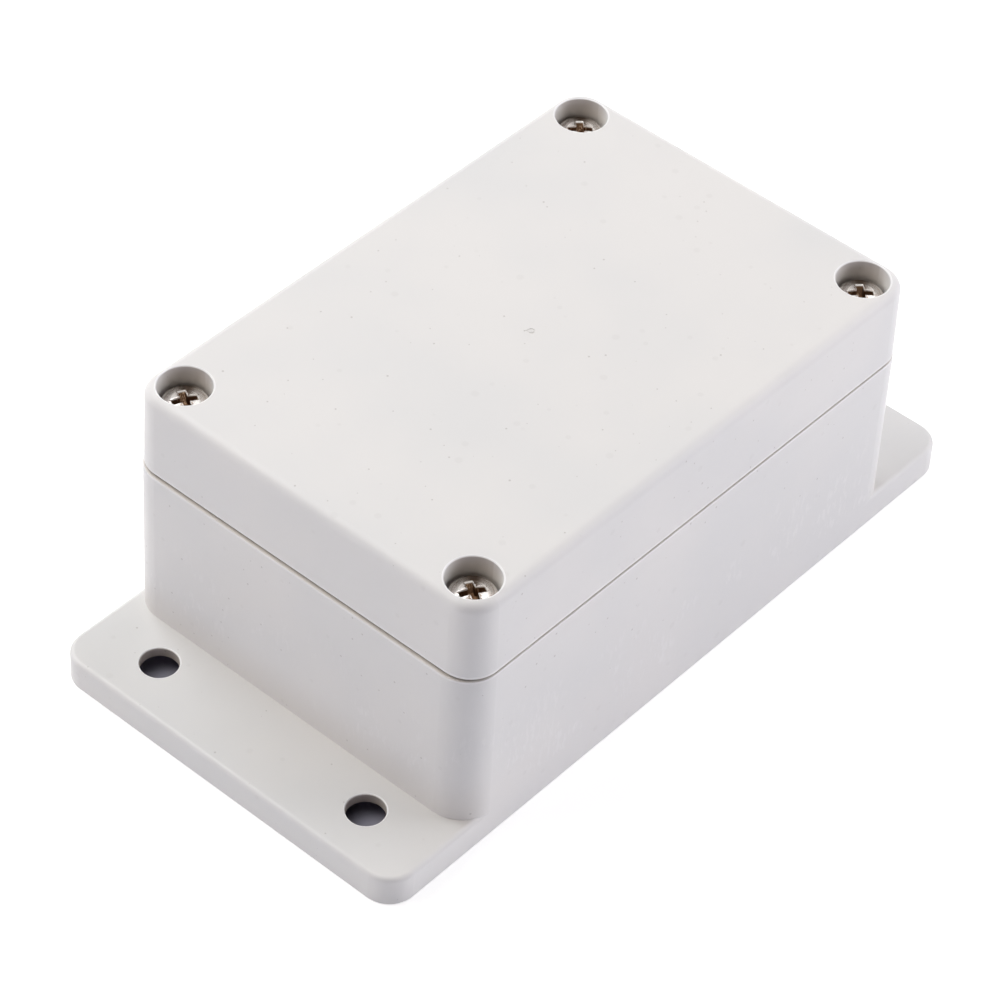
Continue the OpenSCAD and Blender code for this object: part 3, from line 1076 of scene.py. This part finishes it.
class PROJECT_BOX_OT_mouldings(Operator):
    """Dress the base and the lid in moulded plastic"""

    bl_idname = "project_box.mouldings"
    bl_label = "Base and lid"

    def execute(self, context):
        plastic = plastic_material(context.scene.box_mouldings)
        for name in ("base", "lid"):
            dress(frame["nodes"][name], plastic)
        return {"FINISHED"}


class PROJECT_BOX_OT_screws(Operator):
    """Model the four lid screws with their threads and cross recesses"""

    bl_idname = "project_box.screws"
    bl_label = "Lid screws"

    def execute(self, context):
        look = context.scene.box_screws
        blank = screw_blank(look)
        dress(blank, nickel_material(look))
        for corner in CORNERS:
            node = "screw_" + corner
            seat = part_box(node)[0].z + look.shank_length
            turn = getattr(look, "turn_" + corner)
            piece = set_down(blank, "lid_screw_" + corner, node, turn, seat)
            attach(piece, node)
        bpy.data.objects.remove(blank)
        return {"FINISHED"}


class PROJECT_BOX_OT_inserts(Operator):
    """Model the four knurled brass inserts in the screw columns"""

    bl_idname = "project_box.inserts"
    bl_label = "Threaded inserts"

    def execute(self, context):
        look = context.scene.box_inserts
        blank = insert_blank(look)
        dress(blank, brass_material(look))
        for corner in CORNERS:
            node = "insert_" + corner
            piece = set_down(blank, "brass_insert_" + corner, node, 0.0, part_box(node)[0].z)
            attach(piece, "base")
        bpy.data.objects.remove(blank)
        return {"FINISHED"}


class PROJECT_BOX_OT_gasket(Operator):
    """Model the rounded silicone strip in the lid's groove"""

    bl_idname = "project_box.gasket"
    bl_label = "Gasket"

    def execute(self, context):
        look = context.scene.box_gasket
        pick(frame["nodes"]["gasket"])
        bpy.ops.object.duplicate(linked=False)
        strip = name_piece("gasket_strip")
        strip.parent = None
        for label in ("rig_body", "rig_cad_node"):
            del strip[label]
        edit(strip)
        turn_faces_out()
        bpy.ops.mesh.dissolve_limited(angle_limit=math.radians(1))
        bpy.ops.object.mode_set(mode="OBJECT")
        bevel_edges(strip, look.rounding, segments=4, degrees=60)
        smooth(strip, degrees=40)
        dress(strip, silicone_material(look))
        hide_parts("gasket")
        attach(strip, "lid")
        return {"FINISHED"}


class PROJECT_BOX_OT_studio(Operator):
    """Set the pale floor, the soft lamps and the camera round the box"""

    bl_idname = "project_box.studio"
    bl_label = "Studio"

    def execute(self, context):
        look = context.scene.box_studio
        clear_selection()
        bpy.ops.mesh.primitive_circle_add(vertices=96, radius=look.floor_radius, fill_type="NGON")
        floor = name_piece("studio_floor")
        dress(floor, floor_material(look))
        light_world(look)
        for lamp in LAMPS:
            self.add_lamp(look, lamp)
        self.add_camera(context, look)
        context.scene.view_settings.view_transform = "Standard"
        return {"FINISHED"}

    def add_lamp(self, look, name):
        """Square soft lamp that points at the box."""
        turn, rise = getattr(look, name + "_azimuth"), getattr(look, name + "_elevation")
        place = look.lamp_distance * direction(turn, rise)
        aim = place.to_track_quat("Z", "Y").to_euler()
        bpy.ops.object.light_add(type="AREA", location=place, rotation=aim)
        lamp = name_piece(name + "_lamp")
        lamp.data.shape = "SQUARE"
        lamp.data.size = look.lamp_size
        lamp.data.energy = getattr(look, name + "_power")
        lamp.data.color = getattr(look, name + "_tint")

    def add_camera(self, context, look):
        """Camera that looks from the near left corner down at the box."""
        back = direction(look.azimuth, look.elevation)
        level = Vector((0, 0, 1)).cross(back).normalized()
        upright = back.cross(level)
        right = math.cos(look.roll) * level + math.sin(look.roll) * upright
        up = math.cos(look.roll) * upright - math.sin(look.roll) * level
        bpy.ops.object.camera_add()
        camera = name_piece("studio_camera")
        camera.data.lens = look.lens
        camera.data.sensor_width = 36.0
        camera.data.clip_start = 0.01
        view_width = camera.data.sensor_width / look.lens * look.distance
        eye = Vector((0, 0, look.aim_height)) + back * look.distance
        eye -= (look.aim_right * right + look.aim_up * up) * view_width
        camera.matrix_world = Matrix.Translation(eye) @ Matrix((right, up, back)).transposed().to_4x4()
        context.scene.camera = camera


class PROJECT_BOX_PT_looks(Panel):
    """Lists the steps that dress the box"""

    bl_idname = "PROJECT_BOX_PT_looks"
    bl_label = "Project box"
    bl_space_type = "VIEW_3D"
    bl_region_type = "UI"
    bl_category = "Project box"

    def draw(self, context):
        for step, look in STEPS.items():
            box = self.layout.box()
            box.operator("project_box." + step)
            if look:
                for name in look.__annotations__:
                    box.prop(getattr(context.scene, "box_" + step), name)


STEPS = {
    "surfaces": None,
    "mouldings": MouldingLook,
    "screws": ScrewLook,
    "inserts": InsertLook,
    "gasket": GasketLook,
    "studio": StudioLook,
}
CLASSES = (
    *filter(None, STEPS.values()),
    PROJECT_BOX_OT_surfaces,
    PROJECT_BOX_OT_mouldings,
    PROJECT_BOX_OT_screws,
    PROJECT_BOX_OT_inserts,
    PROJECT_BOX_OT_gasket,
    PROJECT_BOX_OT_studio,
    PROJECT_BOX_PT_looks,
)


def register():
    """Adds the classes and the settings to Blender."""
    for item in CLASSES:
        bpy.utils.register_class(item)
    for step, look in STEPS.items():
        if look:
            setattr(bpy.types.Scene, "box_" + step, PointerProperty(type=look))


def unregister():
    """Takes the classes and the settings out of Blender."""
    for step, look in STEPS.items():
        if look:
            delattr(bpy.types.Scene, "box_" + step)
    for item in reversed(CLASSES):
        bpy.utils.unregister_class(item)


def main():
    """Runs every step in order."""
    register()
    for step in STEPS:
        getattr(bpy.ops.project_box, step)()
    clear_selection()


if __name__ == "__main__":
    main()
